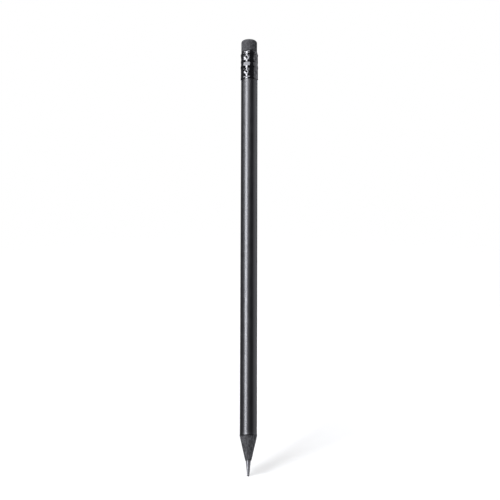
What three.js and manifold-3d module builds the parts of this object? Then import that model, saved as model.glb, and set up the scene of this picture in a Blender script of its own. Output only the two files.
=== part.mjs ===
// A round, wood-cased graphite pencil with a crimped ferrule and an eraser.
// Millimetres. The writing tip is at the origin and the pencil's axis is +Z, with the eraser at the top.
import * as THREE from 'three';
import { mergeVertices } from 'three/addons/utils/BufferGeometryUtils.js';
import Module from 'manifold-3d';

const wasm = await Module();
wasm.setup();

// ---- driving dimensions ----
const overallLength = 190;
const barrelRadius = 3.55;
const lacquerThickness = 0.08;
const leadRadius = 1.12;
const filmGap = 0.02; // the working clearance between pieces that are bonded face to face

// The sharpened end: a cone cut through lacquer and wood, and a lead ground a little slimmer.
const coneTop = 16.5; // where the cone meets the outside of the lacquer
const coneHalfAngle = THREE.MathUtils.degToRad(12.9);
const featherEdge = 6.5; // the wood's thin edge round the lead
const leadTaperTop = 6.4;
const leadShoulderRadius = 0.55; // the lead's radius where its blunt point begins
const leadShoulder = 1.1;

// The ferrule end.
const ferruleBottom = 171.7;
const ferruleLength = 12.7;
const ferruleWall = 0.3;
const ferruleBandRadius = 3.69;
const tenonRadius = 3.12;
const tenonTop = 178.2;

// The crimp dimples: two rows, five dimples a row, pressed in by a round punch.
const dimplesPerRow = 5;
const dimpleRowHeights = [3.0, 9.6]; // above the ferrule's lower edge
const dimpleRadius = 0.95;
const dimpleDepth = 0.2;
const dimplePhase = THREE.MathUtils.degToRad(-23.5); // from the front, -Y, towards +X

// The eraser plug.
const eraserRadius = 3.42;
const eraserSqueezedRadius = 3.08;
const eraserFlare = 0.45;
const eraserEdgeRound = 1.1;
const eraserGap = 0.2; // between the tenon's end and the plug

// The glue between the two slats and round the lead.
const glueThickness = 0.06;

// Facets round the axis, along an arc and along the ferrule.
const roundSegments = 64;
const ferruleSegments = 50;
const ferruleSteps = 30;
const arcSteps = 6;
const beyond = 1; // how far a cutter runs past what it cuts

// ---- derived dimensions ----
const woodRadius = barrelRadius - lacquerThickness - filmGap;
const woodShoulder = ferruleBottom - filmGap;
const glueInnerRadius = leadRadius + filmGap;
const glueOuterRadius = glueInnerRadius + glueThickness;
const grooveRadius = glueOuterRadius + filmGap;
const ferruleTop = ferruleBottom + ferruleLength;

function coneRadius(z) {
  return barrelRadius - (coneTop - z) * Math.tan(coneHalfAngle);
}

function coneHeight(radius) {
  return coneTop - (barrelRadius - radius) / Math.tan(coneHalfAngle);
}

// A solid or a ring turned about +Z. Its outline is a list of [radius, height] going up the outside.
function turned(outline, segments = roundSegments) {
  const points = outline.map(([radius, height]) => new THREE.Vector2(radius, height));
  const geometry = new THREE.LatheGeometry(points, segments);
  geometry.rotateX(Math.PI / 2);
  return welded(geometry);
}

function welded(geometry) {
  geometry.deleteAttribute('normal');
  geometry.deleteAttribute('uv');
  return mergeVertices(geometry, 1e-4);
}

function solidOf(geometry) {
  return new wasm.Manifold(new wasm.Mesh({
    numProp: 3,
    vertProperties: Float32Array.from(geometry.attributes.position.array),
    triVerts: Uint32Array.from(geometry.index.array),
  }));
}

function geometryOf(solid) {
  const mesh = solid.getMesh();
  const geometry = new THREE.BufferGeometry();
  geometry.setAttribute('position', new THREE.BufferAttribute(mesh.vertProperties, 3));
  geometry.setIndex(new THREE.BufferAttribute(mesh.triVerts, 1));
  return geometry;
}

function box(width, depth, height, centre) {
  const geometry = new THREE.BoxGeometry(width, depth, height);
  geometry.translate(...centre);
  return welded(geometry);
}

// Points on a quarter turn from the outside of a rounded edge to its flat end.
function roundedEdge(radius, height, round) {
  return Array.from({ length: arcSteps + 1 }, (_, step) => {
    const turn = (step / arcSteps) * Math.PI / 2;
    return [radius - round * (1 - Math.cos(turn)), height - round * (1 - Math.sin(turn))];
  });
}

// ---- the lead ----
// It runs from its blunt point right through the wood to the end of the tenon.
function leadGeometry() {
  const point = Array.from({ length: arcSteps }, (_, step) => {
    const turn = (step / arcSteps) * Math.PI / 2;
    return [leadShoulderRadius * Math.sin(turn), leadShoulder * (1 - Math.cos(turn))];
  });
  return turned([
    ...point,
    [leadShoulderRadius, leadShoulder],
    [leadRadius, leadTaperTop],
    [leadRadius, tenonTop],
    [0, tenonTop],
  ]);
}

// ---- the wood ----
// The whole glued blank: cone, barrel and the tenon that the ferrule is pushed onto.
function woodBlank() {
  return solidOf(turned([
    [0, featherEdge],
    [coneRadius(featherEdge), featherEdge],
    [woodRadius, coneHeight(woodRadius)],
    [woodRadius, woodShoulder],
    [tenonRadius, woodShoulder],
    [tenonRadius, tenonTop],
    [0, tenonTop],
  ]));
}

// A rod on the axis as long as the pencil and past it, used as a cutter.
function axisRod(radius) {
  return solidOf(turned([
    [0, -beyond],
    [radius, -beyond],
    [radius, overallLength + beyond],
    [0, overallLength + beyond],
  ]));
}

// Half of the blank, grooved for the lead. side is -1 for the front half and 1 for the back half.
function slatGeometry(side) {
  const clearance = glueThickness / 2 + filmGap;
  const depth = barrelRadius + beyond;
  const half = solidOf(box(
    2 * depth, depth, overallLength,
    [0, side * (clearance + depth / 2), overallLength / 2],
  ));
  return geometryOf(woodBlank().intersect(half).subtract(axisRod(grooveRadius)));
}

// The film that bonds the two slats, with a sleeve where it also grips the lead.
function glueGeometry() {
  const film = solidOf(box(
    2 * (barrelRadius + beyond), glueThickness, overallLength,
    [0, 0, overallLength / 2],
  ));
  return geometryOf(
    film.add(axisRod(glueOuterRadius)).intersect(woodBlank()).subtract(axisRod(glueInnerRadius)),
  );
}

// ---- the lacquer ----
// A thin coat on the barrel, cut back by the cone at one end and by the tenon's shoulder at the other.
function lacquerGeometry() {
  const inner = barrelRadius - lacquerThickness;
  return turned([
    [inner, coneHeight(inner)],
    [barrelRadius, coneTop],
    [barrelRadius, woodShoulder],
    [inner, woodShoulder],
    [inner, coneHeight(inner)],
  ]);
}

// ---- the ferrule ----
// Each ring that is rolled into the tube: its height above the lower edge, half its width, and how far
// it stands out, or in where that is negative.
const ferruleRings = [
  { height: 0.5, halfWidth: 0.6, stands: 0.12 }, // flared lip
  { height: 1.75, halfWidth: 0.6, stands: -0.06 },
  { height: 5.2, halfWidth: 0.5, stands: -0.06 },
  { height: 6.6, halfWidth: 1.15, stands: 0.1 }, // the bead
  { height: 8.2, halfWidth: 0.5, stands: -0.08 },
  { height: 11.35, halfWidth: 0.45, stands: -0.05 },
  { height: 12.1, halfWidth: 0.65, stands: 0.08 }, // rolled rim
];

function ferruleRadius(height) {
  return ferruleRings.reduce((radius, ring) => {
    const across = Math.abs(height - ring.height) / ring.halfWidth;
    return across < 1 ? radius + ring.stands * Math.cos(across * Math.PI / 2) ** 2 : radius;
  }, ferruleBandRadius);
}

// How far the crimping punches have pressed the tube in at a height and an angle from the front.
function crimpDepth(height, angle) {
  const pitch = 2 * Math.PI / dimplesPerRow;
  const turnFromDimple = THREE.MathUtils.euclideanModulo(angle - dimplePhase + pitch / 2, pitch) - pitch / 2;
  const around = turnFromDimple * ferruleBandRadius;
  return dimpleRowHeights.reduce((depth, row) => {
    const across = Math.hypot(around, height - row) / dimpleRadius;
    return across < 1 ? depth + dimpleDepth * Math.cos(across * Math.PI / 2) ** 2 : depth;
  }, 0);
}

function ferruleGeometry() {
  const heights = Array.from({ length: ferruleSteps + 1 }, (_, step) => ferruleLength * step / ferruleSteps);
  const outside = heights.map((height) => [ferruleRadius(height), ferruleBottom + height]);
  const inside = outside.map(([radius, z]) => [radius - ferruleWall, z]).reverse();
  const geometry = turned([...outside, ...inside, outside[0]], ferruleSegments);
  const positions = geometry.attributes.position;
  for (let i = 0; i < positions.count; i += 1) {
    const x = positions.getX(i);
    const y = positions.getY(i);
    const radius = Math.hypot(x, y);
    const depth = crimpDepth(positions.getZ(i) - ferruleBottom, Math.atan2(x, -y));
    positions.setX(i, x * (radius - depth) / radius);
    positions.setY(i, y * (radius - depth) / radius);
  }
  return geometry;
}

// ---- the eraser ----
// A rubber plug, squeezed where the ferrule holds it and swelling out above the rim.
function eraserGeometry() {
  const bottom = tenonTop + eraserGap;
  return turned([
    [0, bottom],
    [eraserSqueezedRadius, bottom],
    [eraserSqueezedRadius, ferruleTop],
    [eraserRadius, ferruleTop + eraserFlare],
    ...roundedEdge(eraserRadius, overallLength, eraserEdgeRound),
    [0, overallLength],
  ]);
}

// ---- the assembly ----
function finish(color, roughness, metalness = 0) {
  return new THREE.MeshStandardMaterial({ color, roughness, metalness });
}

function piece(name, geometry, material) {
  const mesh = new THREE.Mesh(geometry, material);
  mesh.name = name;
  return mesh;
}

const pencil = new THREE.Group();
pencil.name = 'pencil';
pencil.add(
  piece('graphite_lead', leadGeometry(), finish('#4a4b4e', 0.35)),
  piece('front_slat', slatGeometry(-1), finish('#232326', 0.85)),
  piece('back_slat', slatGeometry(1), finish('#232326', 0.85)),
  piece('glue_film', glueGeometry(), finish('#2f2b29', 0.6)),
  piece('lacquer_coat', lacquerGeometry(), finish('#0a0a0b', 0.35)),
  piece('ferrule', ferruleGeometry(), finish('#0b0b0d', 0.15, 0.6)),
  piece('eraser_plug', eraserGeometry(), finish('#2f2f31', 0.85)),
);

export default pencil;
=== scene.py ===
"""A black round graphite pencil, held upright on its writing tip over a pale studio floor."""
import math
import bpy
from mathutils import Matrix, Vector, noise


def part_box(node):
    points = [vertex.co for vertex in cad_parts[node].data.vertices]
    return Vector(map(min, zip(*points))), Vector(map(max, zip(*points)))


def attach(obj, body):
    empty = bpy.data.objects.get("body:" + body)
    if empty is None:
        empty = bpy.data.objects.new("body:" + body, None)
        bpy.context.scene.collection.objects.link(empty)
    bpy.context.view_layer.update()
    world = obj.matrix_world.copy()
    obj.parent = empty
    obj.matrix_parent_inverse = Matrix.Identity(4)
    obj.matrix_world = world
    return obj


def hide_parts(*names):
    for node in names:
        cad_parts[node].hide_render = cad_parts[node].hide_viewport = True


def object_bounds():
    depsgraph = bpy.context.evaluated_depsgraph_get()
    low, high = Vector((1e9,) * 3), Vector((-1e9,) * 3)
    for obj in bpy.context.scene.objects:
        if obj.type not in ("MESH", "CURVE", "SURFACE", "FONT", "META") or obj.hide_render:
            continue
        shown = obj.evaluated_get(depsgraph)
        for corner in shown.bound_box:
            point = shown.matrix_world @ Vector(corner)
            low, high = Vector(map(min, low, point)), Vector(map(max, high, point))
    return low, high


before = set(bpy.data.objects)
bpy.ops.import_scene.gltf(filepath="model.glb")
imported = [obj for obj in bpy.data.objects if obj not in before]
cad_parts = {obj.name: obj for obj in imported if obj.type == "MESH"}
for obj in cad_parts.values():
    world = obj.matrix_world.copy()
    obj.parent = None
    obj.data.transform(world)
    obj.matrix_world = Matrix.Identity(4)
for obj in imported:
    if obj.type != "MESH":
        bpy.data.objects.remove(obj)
cad_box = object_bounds()

MM = 0.001


# ---- sizes in millimetres, from the frame's own pieces ----
def node_heights(node):
    low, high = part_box(node)
    return low.z / MM, high.z / MM


def node_radius(node):
    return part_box(node)[1].x / MM


LENGTH = cad_box[1].z / MM
BARREL_RADIUS = node_radius("lacquer_coat")
WOOD_RADIUS = node_radius("front_slat")
LEAD_RADIUS = node_radius("graphite_lead")
ERASER_RADIUS = node_radius("eraser_plug")
LACQUER_LOW, LACQUER_HIGH = node_heights("lacquer_coat")
WOOD_LOW, WOOD_HIGH = node_heights("front_slat")
FERRULE_LOW, FERRULE_HIGH = node_heights("ferrule")
ERASER_LOW, ERASER_HIGH = node_heights("eraser_plug")

LACQUER_THICKNESS = 0.08
GLUE_THICKNESS = 0.06
BOND_GAP = 0.02
LACQUER_INNER = BARREL_RADIUS - LACQUER_THICKNESS
GROOVE_RADIUS = LEAD_RADIUS + GLUE_THICKNESS + 2 * BOND_GAP

# The sharpened end: where its cone meets the outside of the lacquer, and how far its middle is ground hollow.
CONE_SLOPE = math.tan(math.radians(12.9))
CONE_TOP = LACQUER_LOW + LACQUER_THICKNESS / CONE_SLOPE
CONE_HOLLOW = 0.7


def cone_radius(height):
    """The sharpened wood's radius: a straight cone, ground a little hollow near the lead."""
    t = max(0, (height - WOOD_LOW) / (CONE_TOP - WOOD_LOW))
    return BARREL_RADIUS - (CONE_TOP - height) * CONE_SLOPE - CONE_HOLLOW * t * (1 - t) ** 2


# ---- mesh helpers ----
def steps(low, high, count):
    return [low + (high - low) * i / count for i in range(count + 1)]


def swell(across):
    """A smooth bump that is 1 where across is 0 and has died away where it reaches 1."""
    return math.cos(across * math.pi / 2) ** 2 if abs(across) < 1 else 0


def bend(start, corner, end, count):
    """Points along a quadratic curve from start to end, pulled towards corner."""
    points = []
    for t in steps(0, 1, count):
        a, b, c = (1 - t) ** 2, 2 * t * (1 - t), t * t
        points.append(tuple(a * s + b * m + c * e for s, m, e in zip(start, corner, end)))
    return points


def between(points, place):
    """The value at a place on the straight lines through (place, value) points."""
    for (low, a), (high, b) in zip(points, points[1:]):
        if place <= high:
            return a + (b - a) * max(0, place - low) / (high - low)
    return points[-1][1]


def add_piece(name, vertices, faces, material):
    """A piece from vertices in millimetres, smooth but for its edges sharper than 35 degrees."""
    mesh = bpy.data.meshes.new(name)
    mesh.from_pydata([Vector(v) * MM for v in vertices], [], faces)
    mesh.validate()
    mesh.shade_smooth()
    mesh.set_sharp_from_angle(angle=math.radians(35))
    mesh.materials.append(material)
    piece = bpy.data.objects.new(name, mesh)
    bpy.context.scene.collection.objects.link(piece)
    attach(piece, "root")
    return piece


def turned(name, outline, segments, material, shape=None, closed=False):
    """A piece turned about Z. Its outline is (radius, height) up the outside, and shape may move a radius."""
    vertices, rows, faces = [], [], []
    for radius, height in outline:
        row = []
        for i in range(segments if radius > 0 else 1):
            angle = 2 * math.pi * i / segments
            r = shape(radius, angle, height) if shape and radius > 0 else radius
            row.append(len(vertices))
            vertices.append((r * math.sin(angle), -r * math.cos(angle), height))
        rows.append(row)
    above = rows[1:] + rows[:1] if closed else rows[1:]
    for low, high in zip(rows, above):
        for i in range(segments):
            j = (i + 1) % segments
            corners = [low[i % len(low)], low[j % len(low)], high[j % len(high)], high[i % len(high)]]
            face = list(dict.fromkeys(corners))
            if len(face) > 2:
                faces.append(face)
    return add_piece(name, vertices, faces, material)


# ---- material helpers ----
def linear(hex_colour):
    """An sRGB hex colour as linear RGBA."""
    channels = [int(hex_colour[i:i + 2], 16) / 255 for i in (1, 3, 5)]
    return [c / 12.92 if c <= 0.04045 else ((c + 0.055) / 1.055) ** 2.4 for c in channels] + [1.0]


def add(tree, kind, sockets=None, ramp=(), **settings):
    """Adds a node with its settings, its ramp's (place, colour) stops, its sockets' values and its links.
    A link comes from another node's first output, or from the output that is given."""
    made = tree.nodes.new(kind)
    for key, value in settings.items():
        setattr(made, key, value)
    for i, (place, colour) in enumerate(ramp):
        made.color_ramp.elements[i].position = place
        made.color_ramp.elements[i].color = linear(colour)
    for key, value in (sockets or {}).items():
        if isinstance(value, bpy.types.Node):
            value = value.outputs[0]
        if isinstance(value, bpy.types.NodeSocket):
            tree.links.new(value, made.inputs[key])
        else:
            made.inputs[key].default_value = value
    return made


def new_material(name):
    """A material with an empty tree, and the position on the pencil in millimetres as its coordinates."""
    material = bpy.data.materials.new(name)
    material.use_nodes = True
    tree = material.node_tree
    tree.nodes.clear()
    metres = add(tree, "ShaderNodeTexCoord").outputs["Object"]
    where = add(tree, "ShaderNodeVectorMath", {0: metres, 1: (1 / MM,) * 3}, operation="MULTIPLY")
    return material, tree, where


# The part of a noise's range that a mottle covers: nearly all for a soft one, the middle for a crisp one.
SOFT = 0.3, 0.7
CRISP = 0.44, 0.56


# ---- materials ----
def dipped_black_lacquer():
    """Nitrocellulose lacquer, built up in many thin dipped coats drawn along the barrel.
    It gives a soft satin streak of light with slightly wavering edges, over a nearly black body."""
    material, tree, where = new_material("dipped_black_lacquer")
    # Drawn coats leave flow marks about 1 mm across and 8 mm long.
    drawn = add(tree, "ShaderNodeVectorMath", {0: where, 1: (1.0, 1.0, 0.12)}, operation="MULTIPLY")
    flow = add(tree, "ShaderNodeTexNoise", {"Vector": drawn, "Scale": 1.0})
    # Rubbing by hands and boxes leaves clouds of finer scuffs, about 3 mm across and 5 mm long.
    rubbed = add(tree, "ShaderNodeVectorMath", {0: where, 1: (0.35, 0.35, 0.2)}, operation="MULTIPLY")
    scuffs = add(tree, "ShaderNodeTexNoise", {"Vector": rubbed, "Scale": 1.0, "Detail": 5.0})
    bump = add(tree, "ShaderNodeBump", {"Height": flow, "Strength": 0.3, "Distance": 0.012 * MM})
    colour = add(tree, "ShaderNodeValToRGB", {"Fac": scuffs}, ramp=zip(SOFT, ("#050506", "#09090b")))
    satin = add(tree, "ShaderNodeMapRange", {
        "Value": scuffs, "From Min": SOFT[0], "From Max": SOFT[1], "To Min": 0.32, "To Max": 0.37})
    shader = add(tree, "ShaderNodeBsdfPrincipled", {
        "Base Color": colour, "Roughness": satin, "IOR": 1.5, "Normal": bump})
    add(tree, "ShaderNodeOutputMaterial", {"Surface": shader})
    return material


def cut_black_dyed_wood():
    """Cedar, or a wood like it, dyed black through and cut across its grain by a sharpener's blade.
    It gives a dull charcoal cone with fine pale fibres, torn flecks and darker pores between them."""
    material, tree, where = new_material("cut_black_dyed_wood")
    # Fibres are really 0.03 mm wide; they are drawn over ten times coarser, so that they show.
    along = add(tree, "ShaderNodeVectorMath", {0: where, 1: (2.2, 2.2, 0.3)}, operation="MULTIPLY")
    fibres = add(tree, "ShaderNodeTexNoise", {
        "Vector": along, "Scale": 1.0, "Detail": 3.0, "Roughness": 0.6})
    # Flecks are where the blade tore the surface, about 1 mm long.
    torn = add(tree, "ShaderNodeVectorMath", {0: where, 1: (1.3, 1.3, 0.9)}, operation="MULTIPLY")
    flecks = add(tree, "ShaderNodeTexNoise", {
        "Vector": torn, "Scale": 1.0, "Detail": 3.0, "Roughness": 0.6})
    both = add(tree, "ShaderNodeMath", {0: fibres, 1: flecks}, operation="ADD")
    texture = add(tree, "ShaderNodeMath", {0: both, 1: 0.5}, operation="MULTIPLY")
    bump = add(tree, "ShaderNodeBump", {"Height": texture, "Strength": 1.0, "Distance": 0.3 * MM})
    colour = add(tree, "ShaderNodeValToRGB", {"Fac": texture}, ramp=zip(CRISP, ("#0a0a0b", "#444446")))
    shader = add(tree, "ShaderNodeBsdfPrincipled", {
        "Base Color": colour, "Roughness": 0.7, "IOR": 1.5, "Normal": bump})
    add(tree, "ShaderNodeOutputMaterial", {"Surface": shader})
    return material


def ground_graphite():
    """Graphite and clay, fired, waxed and ground to a point.
    It gives a grey metallic sheen, broken up by the rings that the grinding left round it."""
    material, tree, where = new_material("ground_graphite")
    # Grinding rings are about 0.1 mm apart; they are drawn at that size, slightly uneven.
    round_it = add(tree, "ShaderNodeVectorMath", {0: where, 1: (0.8, 0.8, 7.0)}, operation="MULTIPLY")
    rings = add(tree, "ShaderNodeTexNoise", {
        "Vector": round_it, "Scale": 1.0, "Detail": 4.0, "Roughness": 0.6})
    bump = add(tree, "ShaderNodeBump", {"Height": rings, "Strength": 0.4, "Distance": 0.015 * MM})
    colour = add(tree, "ShaderNodeValToRGB", {"Fac": rings}, ramp=zip(SOFT, ("#666668", "#808082")))
    sheen = add(tree, "ShaderNodeMapRange", {
        "Value": rings, "From Min": SOFT[0], "From Max": SOFT[1], "To Min": 0.32, "To Max": 0.42})
    shader = add(tree, "ShaderNodeBsdfPrincipled", {
        "Base Color": colour, "Metallic": 0.7, "Roughness": sheen, "Normal": bump})
    add(tree, "ShaderNodeOutputMaterial", {"Surface": shader})
    return material


def black_enamelled_aluminium():
    """Thin rolled aluminium tube under a coat of black stoving enamel.
    It gives hard small glints on every ring and dent, and deep blacks between them."""
    material, tree, where = new_material("black_enamelled_aluminium")
    # The pressed metal is never quite even: dips about 1 mm across.
    dips = add(tree, "ShaderNodeTexNoise", {"Vector": where, "Scale": 1.1, "Detail": 3.0})
    # Handling leaves a fine haze, in patches of about 0.4 mm.
    haze = add(tree, "ShaderNodeTexNoise", {"Vector": where, "Scale": 2.5, "Detail": 5.0})
    bump = add(tree, "ShaderNodeBump", {"Height": dips, "Strength": 0.35, "Distance": 0.05 * MM})
    colour = add(tree, "ShaderNodeValToRGB", {"Fac": haze}, ramp=zip(SOFT, ("#040405", "#08080a")))
    gloss = add(tree, "ShaderNodeMapRange", {
        "Value": haze, "From Min": SOFT[0], "From Max": SOFT[1], "To Min": 0.08, "To Max": 0.14})
    shader = add(tree, "ShaderNodeBsdfPrincipled", {
        "Base Color": colour, "Roughness": gloss, "IOR": 1.5, "Normal": bump})
    add(tree, "ShaderNodeOutputMaterial", {"Surface": shader})
    return material


def moulded_grey_rubber():
    """Dark vinyl eraser rubber, extruded, cut to length and tumbled.
    It gives a dull, slightly chalky grey, mottled by its filler and by the bloom on its skin."""
    material, tree, where = new_material("moulded_grey_rubber")
    # Filler shows as clouds of about 1 mm with specks of 0.2 mm in them.
    clouds = add(tree, "ShaderNodeTexNoise", {
        "Vector": where, "Scale": 1.1, "Detail": 3.0, "Roughness": 0.7})
    bump = add(tree, "ShaderNodeBump", {"Height": clouds, "Strength": 1.0, "Distance": 0.35 * MM})
    colour = add(tree, "ShaderNodeValToRGB", {"Fac": clouds}, ramp=zip(CRISP, ("#08080a", "#272729")))
    shader = add(tree, "ShaderNodeBsdfPrincipled", {
        "Base Color": colour, "Roughness": 0.85, "IOR": 1.5, "Normal": bump})
    add(tree, "ShaderNodeOutputMaterial", {"Surface": shader})
    return material


def dried_wood_glue():
    """White wood glue, dried clear and stained by the dye in the slats.
    It gives a hair-thin, slightly shiny dark line down each side of the sharpened cone."""
    material, tree, where = new_material("dried_wood_glue")
    # The stain is uneven, in patches of about 0.5 mm.
    stain = add(tree, "ShaderNodeTexNoise", {"Vector": where, "Scale": 2.0})
    colour = add(tree, "ShaderNodeValToRGB", {"Fac": stain}, ramp=zip(SOFT, ("#1d1b1b", "#2b2827")))
    shader = add(tree, "ShaderNodeBsdfPrincipled", {"Base Color": colour, "Roughness": 0.5})
    add(tree, "ShaderNodeOutputMaterial", {"Surface": shader})
    return material


# ---- the lead ----
# The point's outline, in (radius, height) pairs: a rounded tip, a hollow taper, and a bend to full width.
TIP_CORNER, TIP_SIDE = (0.42, 0), (0.5, 0.55)
TAPER_PULL, TAPER_TOP = (0.62, 1.9), (0.9, 5.0)
SHOULDER_PULL, SHOULDER_HEIGHT = (1.08, 6.6), 7.4
POINT_STEPS = 8
ROD_RINGS_LOW = 20  # the rod's evenly spaced rings start here, inside the wood


def build_lead():
    outline = bend((0, 0), TIP_CORNER, TIP_SIDE, POINT_STEPS)
    outline += bend(TIP_SIDE, TAPER_PULL, TAPER_TOP, POINT_STEPS)[1:]
    outline += bend(TAPER_TOP, SHOULDER_PULL, (LEAD_RADIUS, SHOULDER_HEIGHT), POINT_STEPS)[1:]
    outline += [(LEAD_RADIUS, z) for z in steps(ROD_RINGS_LOW, WOOD_HIGH, 6)]
    outline += [(0, WOOD_HIGH)]
    piece = turned("pointed_lead", outline, 96, ground_graphite())
    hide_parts("graphite_lead")


# ---- the wood ----
TENON_RADIUS = 3.12
TENON_BEVEL = 0.2
THINNEST_WOOD = 0.02
CONE_STEPS, BARREL_STEPS = 110, 12
ARC_STEPS, GROOVE_STEPS = 96, 24

TORN_EDGE = 0.7  # how far the wood's thin edge is chipped back from the lead, at most
TORN_FADE = 2.0  # how far up the cone the chipping is felt
CHIP_CIRCLE = 0.9  # a larger circle through the noise gives more chips round the edge
CHIP_PATTERN = 4.7
CHIP_MIDDLE, CHIP_SWING = 0.4, 1.3

MARKS_ROUND, MARKS_UP = 3.2, 0.35  # how fast the blade's marks change round the cone and up it
MARK_DEPTH = 0.035
CHATTER_DEPTH = 0.01
CHATTER_PER_MM = 9  # radians, so the blade's ridges are 0.7 mm apart
CHATTER_TWIST = 2  # the ridges climb as they go round


def torn_back(turn, height):
    """How far up a point of the thin edge has moved where the blade chipped it away from the lead."""
    there = Vector((math.cos(turn) * CHIP_CIRCLE, math.sin(turn) * CHIP_CIRCLE, CHIP_PATTERN))
    fade = max(0, 1 - (height - WOOD_LOW) / TORN_FADE)
    return TORN_EDGE * fade * min(1, max(0, CHIP_MIDDLE + CHIP_SWING * noise.noise(there)))


def blade_marks(turn, height):
    """How far a sharpener's blade leaves the cone proud or torn, in millimetres."""
    there = Vector((math.cos(turn) * MARKS_ROUND, math.sin(turn) * MARKS_ROUND, height * MARKS_UP))
    chatter = 0.5 + 0.5 * math.sin(height * CHATTER_PER_MM + turn * CHATTER_TWIST)
    return MARK_DEPTH * noise.fractal(there, 1.0, 2.0, 3) - CHATTER_DEPTH - CHATTER_DEPTH * chatter


def build_slat(name, side, node, material):
    """Half of the wood: a D section with a groove, lofted up through the cone, the barrel and the tenon."""
    bare_top = CONE_TOP - (BARREL_RADIUS - WOOD_RADIUS) / CONE_SLOPE
    sections = [(z, cone_radius(z)) for z in steps(WOOD_LOW, bare_top, CONE_STEPS)]
    sections += [(z, WOOD_RADIUS) for z in steps(bare_top, LACQUER_HIGH, BARREL_STEPS)[1:]]
    sections += [(LACQUER_HIGH, TENON_RADIUS), (WOOD_HIGH - TENON_BEVEL, TENON_RADIUS)]
    sections += [(WOOD_HIGH, TENON_RADIUS - TENON_BEVEL)]
    half_glue = GLUE_THICKNESS / 2 + BOND_GAP
    vertices, faces = [], []
    for height, radius in sections:
        # Each section runs round the outside of the D, then back round its groove.
        edge = math.asin(half_glue / radius)
        for turn in steps(edge, math.pi - edge, ARC_STEPS):
            z = height + torn_back(side * turn, height)
            r = cone_radius(z) + blade_marks(side * turn, z) if height < bare_top else radius
            r = max(r, GROOVE_RADIUS + THINNEST_WOOD)
            vertices.append((r * math.cos(turn), side * r * math.sin(turn), z))
        edge = math.asin(half_glue / GROOVE_RADIUS)
        for turn in steps(math.pi - edge, edge, GROOVE_STEPS):
            z = height + torn_back(side * turn, height)
            vertices.append((GROOVE_RADIUS * math.cos(turn), side * GROOVE_RADIUS * math.sin(turn), z))
    count = ARC_STEPS + GROOVE_STEPS + 2
    for level in range(len(sections) - 1):
        low, high = level * count, (level + 1) * count
        for i in range(count):
            j = (i + 1) % count
            face = [low + i, low + j, high + j, high + i]
            faces.append(face if side > 0 else face[::-1])
    bottom = list(range(count))
    top = [i + (len(sections) - 1) * count for i in range(count)]
    faces.append(bottom[::-1] if side > 0 else bottom)
    faces.append(top if side > 0 else top[::-1])
    piece = add_piece(name, vertices, faces, material)
    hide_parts(node)


# ---- the lacquer ----
SKIN_RADIUS = BARREL_RADIUS - 0.02
CUT_FACE = [(LACQUER_INNER, CONE_TOP + 0.05), (SKIN_RADIUS - 0.02, CONE_TOP - 0.03)]
# The sharpener rolls the lacquer's cut end up into a low bead, steep below its crest and gentle above it.
CUT_ROLL = 0.075
CUT_ROLL_CREST = 0.35
CUT_ROLL_BELOW = 0.45
CUT_ROLL_ABOVE = 0.95
PLAIN_SKIN = 3  # how far above the cut the plain barrel begins


def build_lacquer():
    outline = list(CUT_FACE)
    for rise in steps(0, CUT_ROLL_CREST + CUT_ROLL_ABOVE, 16):
        across = (rise - CUT_ROLL_CREST) / (CUT_ROLL_ABOVE if rise > CUT_ROLL_CREST else CUT_ROLL_BELOW)
        outline.append((SKIN_RADIUS + CUT_ROLL * swell(across), CONE_TOP + rise))
    outline += [(SKIN_RADIUS, z) for z in steps(CONE_TOP + PLAIN_SKIN, LACQUER_HIGH, 24)]
    outline += [(LACQUER_INNER, LACQUER_HIGH)]
    piece = turned("lacquered_barrel", outline, 160, dipped_black_lacquer(), closed=True)
    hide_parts("lacquer_coat")


# ---- the ferrule ----
FERRULE_BAND = 3.69
FERRULE_WALL = 0.25
FERRULE_STEPS = 150
FERRULE_SEGMENTS = 220
INSIDE_SHARE = 5  # the unseen inside needs only one ring in five
# The rolled profile: a height above the lower edge, and how far the tube stands out there, or in if negative.
FERRULE_PROFILE = [
    (0.0, 0.05), (0.35, 0.08), (0.75, 0.07), (0.9, 0.0),  # the flared lip
    (3.6, 0.01), (5.0, -0.02), (5.7, 0.107), (5.85, 0.107),  # a groove, and the bead's crest above it
    (7.5, -0.12), (7.95, 0.01),  # the bead's long upper slope, down into a groove with a steep upper side
    (9.0, 0.0), (11.0, -0.045),  # the upper band
    (11.2, 0.05), (11.6, 0.08), (12.35, -0.2), (12.7, -0.22),  # the rim, rolled in over the eraser
]
ROLLED_ROUND = 0.11
# The crimps: two rows of dents from a pointed punch, which hold the wood below and the eraser above.
DENTS_IN_A_ROW = 5
DENT_TURN = math.radians(-24)
DENT_ROWS = ((2.75, 1.0), (9.15, 1.25))  # each row's height and its dents' radius
DENT_SLOPE = 0.31
DENT_TIP = 0.1
PUNCH_LEAN = 2  # how much steeper a dent's lower side is than its upper side


def ring_radius(height):
    """The rolled profile, with its corners rounded by averaging a short way up and down."""
    nearby = steps(height - ROLLED_ROUND, height + ROLLED_ROUND, 8)
    return FERRULE_BAND + sum(between(FERRULE_PROFILE, h) for h in nearby) / len(nearby)


def dent_depth(angle, height):
    pitch = 2 * math.pi / DENTS_IN_A_ROW
    away = (angle - DENT_TURN + pitch / 2) % pitch - pitch / 2
    depth = 0
    for row, size in DENT_ROWS:
        rise = height - row
        rise *= PUNCH_LEAN if rise < 0 else 1
        depth += DENT_SLOPE * max(0, size - math.hypot(away * FERRULE_BAND, rise, DENT_TIP))
    return depth


def pressed(radius, angle, height):
    return radius - dent_depth(angle, height - FERRULE_LOW)


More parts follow.
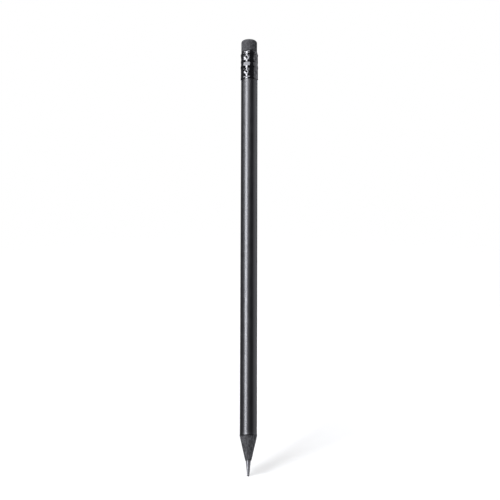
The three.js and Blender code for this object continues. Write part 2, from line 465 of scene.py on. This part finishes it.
def build_ferrule():
    heights = steps(0, FERRULE_HIGH - FERRULE_LOW, FERRULE_STEPS)
    outside = [(ring_radius(h), FERRULE_LOW + h) for h in heights]
    inside = [(r - FERRULE_WALL, z) for r, z in outside[::INSIDE_SHARE]][::-1]
    enamel = black_enamelled_aluminium()
    piece = turned("crimped_ferrule", outside + inside, FERRULE_SEGMENTS, enamel,
                   pressed, closed=True)
    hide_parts("ferrule")


# ---- the eraser ----
ERASER_SKIN = ERASER_RADIUS * 0.993  # leaves room for the skin to wander
ERASER_WANDER = 0.006
ERASER_SQUEEZED = 3.1
ERASER_NECK = 0.25  # how far below the ferrule's rim it begins to swell out again
ERASER_SWOLLEN = 0.6  # how far above the rim it has its full width
ERASER_STRAIGHT = 0.8  # how far above the rim its side's evenly spaced rings start
ERASER_EDGE = 1.1
ERASER_ASIDE = 0.1  # how far it was pushed in off centre, to the left


def tumbled(radius, angle, height):
    """The eraser's skin is never true: it wanders by a few hundredths of a millimetre."""
    there = Vector((math.sin(angle) * 1.5, math.cos(angle) * 1.5, height * 0.5))
    return radius * (1 + ERASER_WANDER * noise.noise(there)) - ERASER_ASIDE * math.sin(angle)


def build_eraser():
    outline = [(0, ERASER_LOW), (ERASER_SQUEEZED, ERASER_LOW)]
    outline += [(ERASER_SQUEEZED, FERRULE_HIGH - ERASER_NECK)]
    outline += bend((ERASER_SQUEEZED + 0.02, FERRULE_HIGH), (ERASER_SKIN, FERRULE_HIGH + 0.1),
                    (ERASER_SKIN, FERRULE_HIGH + ERASER_SWOLLEN), 6)
    straight = steps(FERRULE_HIGH + ERASER_STRAIGHT, ERASER_HIGH - ERASER_EDGE, 14)
    outline += [(ERASER_SKIN, z) for z in straight]
    for turn in steps(0, math.pi / 2, 14)[1:]:
        outline.append((ERASER_SKIN - ERASER_EDGE * (1 - math.cos(turn)),
                        ERASER_HIGH - ERASER_EDGE * (1 - math.sin(turn))))
    outline += [(r, ERASER_HIGH) for r in (1.6, 1.0, 0.5, 0)]
    piece = turned("eraser", outline, 128, moulded_grey_rubber(), tumbled)
    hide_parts("eraser_plug")


# ---- the glue ----
def dress_glue_film():
    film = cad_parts["glue_film"]
    film.data.materials.clear()
    film.data.materials.append(dried_wood_glue())


# ---- the studio ----
# The pencil leans back from its floor. Here it is upright, so the floor is what rises behind it.
FLOOR_TILT = math.radians(35)
FLOOR_SIZE = 1.2
FLOOR_CELLS = 24
FLOOR_GLOW = 0.624
FLOOR_FADES = 0.12, 0.32  # the distances from the tip between which the paper fades away
CAMERA_DISTANCE = 0.899
CAMERA_LENS = 153.68
CAMERA_BELOW = math.radians(15.5)
CAMERA_AIM = Vector((0.48 * MM, 0, 96.13 * MM))
CAMERA_ROLL = math.radians(0.15)
LAMP_TINT = "#f6f7ff"
ROOM_LIGHT = 0.13


def add_camera():
    camera = bpy.data.objects.new("camera", bpy.data.cameras.new("camera"))
    bpy.context.scene.collection.objects.link(camera)
    camera.data.sensor_width = 36
    camera.data.lens = CAMERA_LENS
    back = Vector((0, -math.cos(CAMERA_BELOW), -math.sin(CAMERA_BELOW)))
    camera.location = CAMERA_AIM + back * CAMERA_DISTANCE
    look = (-back).to_track_quat("-Z", "Y").to_matrix() @ Matrix.Rotation(CAMERA_ROLL, 3, "Z")
    camera.rotation_euler = look.to_euler()
    camera.data.clip_start = 0.01
    camera.data.clip_end = 20
    bpy.context.scene.camera = camera


def glowing_white_paper():
    """A translucent white sweep, lit from behind as well as from above.
    It gives a nearly white floor, on which the pencil's shadow is only a faint streak."""
    material = bpy.data.materials.new("glowing_white_paper")
    material.use_nodes = True
    tree = material.node_tree
    tree.nodes.clear()
    # The paper fades into the white room with its distance from the tip, and is clear from underneath.
    where = add(tree, "ShaderNodeTexCoord").outputs["Object"]
    reach = add(tree, "ShaderNodeVectorMath", {0: where}, operation="LENGTH").outputs["Value"]
    fade = add(tree, "ShaderNodeMapRange", {
        "Value": reach, "From Min": FLOOR_FADES[0], "From Max": FLOOR_FADES[1]},
        interpolation_type="SMOOTHSTEP")
    under = add(tree, "ShaderNodeNewGeometry").outputs["Backfacing"]
    clear = add(tree, "ShaderNodeMath", {0: fade, 1: under}, operation="MAXIMUM")
    front = add(tree, "ShaderNodeBsdfDiffuse", {"Color": linear("#828280")})
    behind = add(tree, "ShaderNodeEmission", {"Color": linear("#ffffff"), "Strength": FLOOR_GLOW})
    paper = add(tree, "ShaderNodeAddShader", {0: front, 1: behind})
    through = add(tree, "ShaderNodeBsdfTransparent")
    mix = add(tree, "ShaderNodeMixShader", {0: clear, 1: paper, 2: through})
    add(tree, "ShaderNodeOutputMaterial", {"Surface": mix})
    return material


def add_floor():
    vertices, faces = [], []
    for j in range(FLOOR_CELLS + 1):
        up = (j / FLOOR_CELLS - 0.5) * FLOOR_SIZE
        for i in range(FLOOR_CELLS + 1):
            across = (i / FLOOR_CELLS - 0.5) * FLOOR_SIZE
            vertices.append((across, up * math.cos(FLOOR_TILT), up * math.sin(FLOOR_TILT)))
    for j in range(FLOOR_CELLS):
        for i in range(FLOOR_CELLS):
            a = j * (FLOOR_CELLS + 1) + i
            faces.append((a, a + 1, a + FLOOR_CELLS + 2, a + FLOOR_CELLS + 1))
    mesh = bpy.data.meshes.new("studio_floor")
    mesh.from_pydata(vertices, [], faces)
    mesh.materials.append(glowing_white_paper())
    floor = bpy.data.objects.new("studio_floor", mesh)
    bpy.context.scene.collection.objects.link(floor)
    floor.visible_glossy = False


def add_softbox(name, azimuth, elevation, distance, width, height, radiance,
                gloss=True, diffuse=True, roll=0):
    """A panel of light aimed at the pencil's middle; azimuth 0 is in front of it and 90 on its right.
    Without gloss it isn't mirrored in anything, and without diffuse it is only ever seen mirrored."""
    light = bpy.data.lights.new(name, "AREA")
    light.shape = "RECTANGLE"
    light.size = width
    light.size_y = height
    light.energy = radiance * math.pi * width * height
    light.color = linear(LAMP_TINT)[:3]
    box = bpy.data.objects.new(name, light)
    bpy.context.scene.collection.objects.link(box)
    a, e = math.radians(azimuth), math.radians(elevation)
    out = Vector((math.sin(a) * math.cos(e), -math.cos(a) * math.cos(e), math.sin(e)))
    box.location = Vector((0, 0, LENGTH / 2 * MM)) + out * distance
    facing = out.to_track_quat("Z", "Y").to_matrix() @ Matrix.Rotation(math.radians(roll), 3, "Z")
    box.rotation_euler = facing.to_euler()
    box.visible_camera = False
    box.visible_glossy = gloss
    box.visible_diffuse = diffuse


def add_lights():
    # The key, high on the left, throws the shadow to the right, and the fills open up the wood and rubber.
    add_softbox("key_softbox", -45, 60, 2.0, 0.41, 0.41, 112, gloss=False)
    add_softbox("left_fill", -72, 5, 1.2, 1.7, 1.2, 2.9, gloss=False)
    add_softbox("right_fill", 70, 36, 1.2, 1.0, 1.0, 4.4, gloss=False)
    # The strip is the streak down the barrel; the overhead pair are the glints on the ferrule.
    add_softbox("side_strip", -38.5, 14, 1.2, 0.5, 0.5, 30, diffuse=False, roll=25)
    add_softbox("overhead_panel", -44, 45, 1.2, 1.8, 0.6, 11, diffuse=False)
    add_softbox("overhead_core", -59, 67.5, 1.2, 0.32, 0.34, 70, diffuse=False)
    # The reflectors lift the barrel's sides off black, and the back panel does the same from behind.
    add_softbox("right_reflector", 97, 25, 1.2, 1.4, 1.05, 1.35)
    add_softbox("low_right_reflector", 97, -24, 1.2, 1.2, 0.55, 1.6)
    add_softbox("left_reflector", -120, 15, 1.2, 1.2, 1.6, 0.1)
    add_softbox("low_back_panel", -170, -14, 1.2, 0.8, 0.4, 7, diffuse=False)


def add_surround():
    """A dim room round the pencil, which the camera sees as plain white."""
    world = bpy.data.worlds.new("studio_surround")
    bpy.context.scene.world = world
    world.use_nodes = True
    tree = world.node_tree
    tree.nodes.clear()
    seen = add(tree, "ShaderNodeLightPath").outputs["Is Camera Ray"]
    lit = add(tree, "ShaderNodeBackground", {"Color": linear(LAMP_TINT), "Strength": ROOM_LIGHT})
    white = add(tree, "ShaderNodeBackground", {"Color": linear("#ffffff"), "Strength": 1.0})
    mix = add(tree, "ShaderNodeMixShader", {0: seen, 1: lit, 2: white})
    add(tree, "ShaderNodeOutputWorld", {"Surface": mix})


add_camera()
add_floor()
add_surround()
add_lights()

build_lead()
wood = cut_black_dyed_wood()
build_slat("front_wood_slat", -1, "front_slat", wood)
build_slat("back_wood_slat", 1, "back_slat", wood)
dress_glue_film()
build_lacquer()
build_ferrule()
build_eraser()

bpy.context.scene.view_settings.view_transform = "Standard"
bpy.context.scene.view_settings.look = "None"
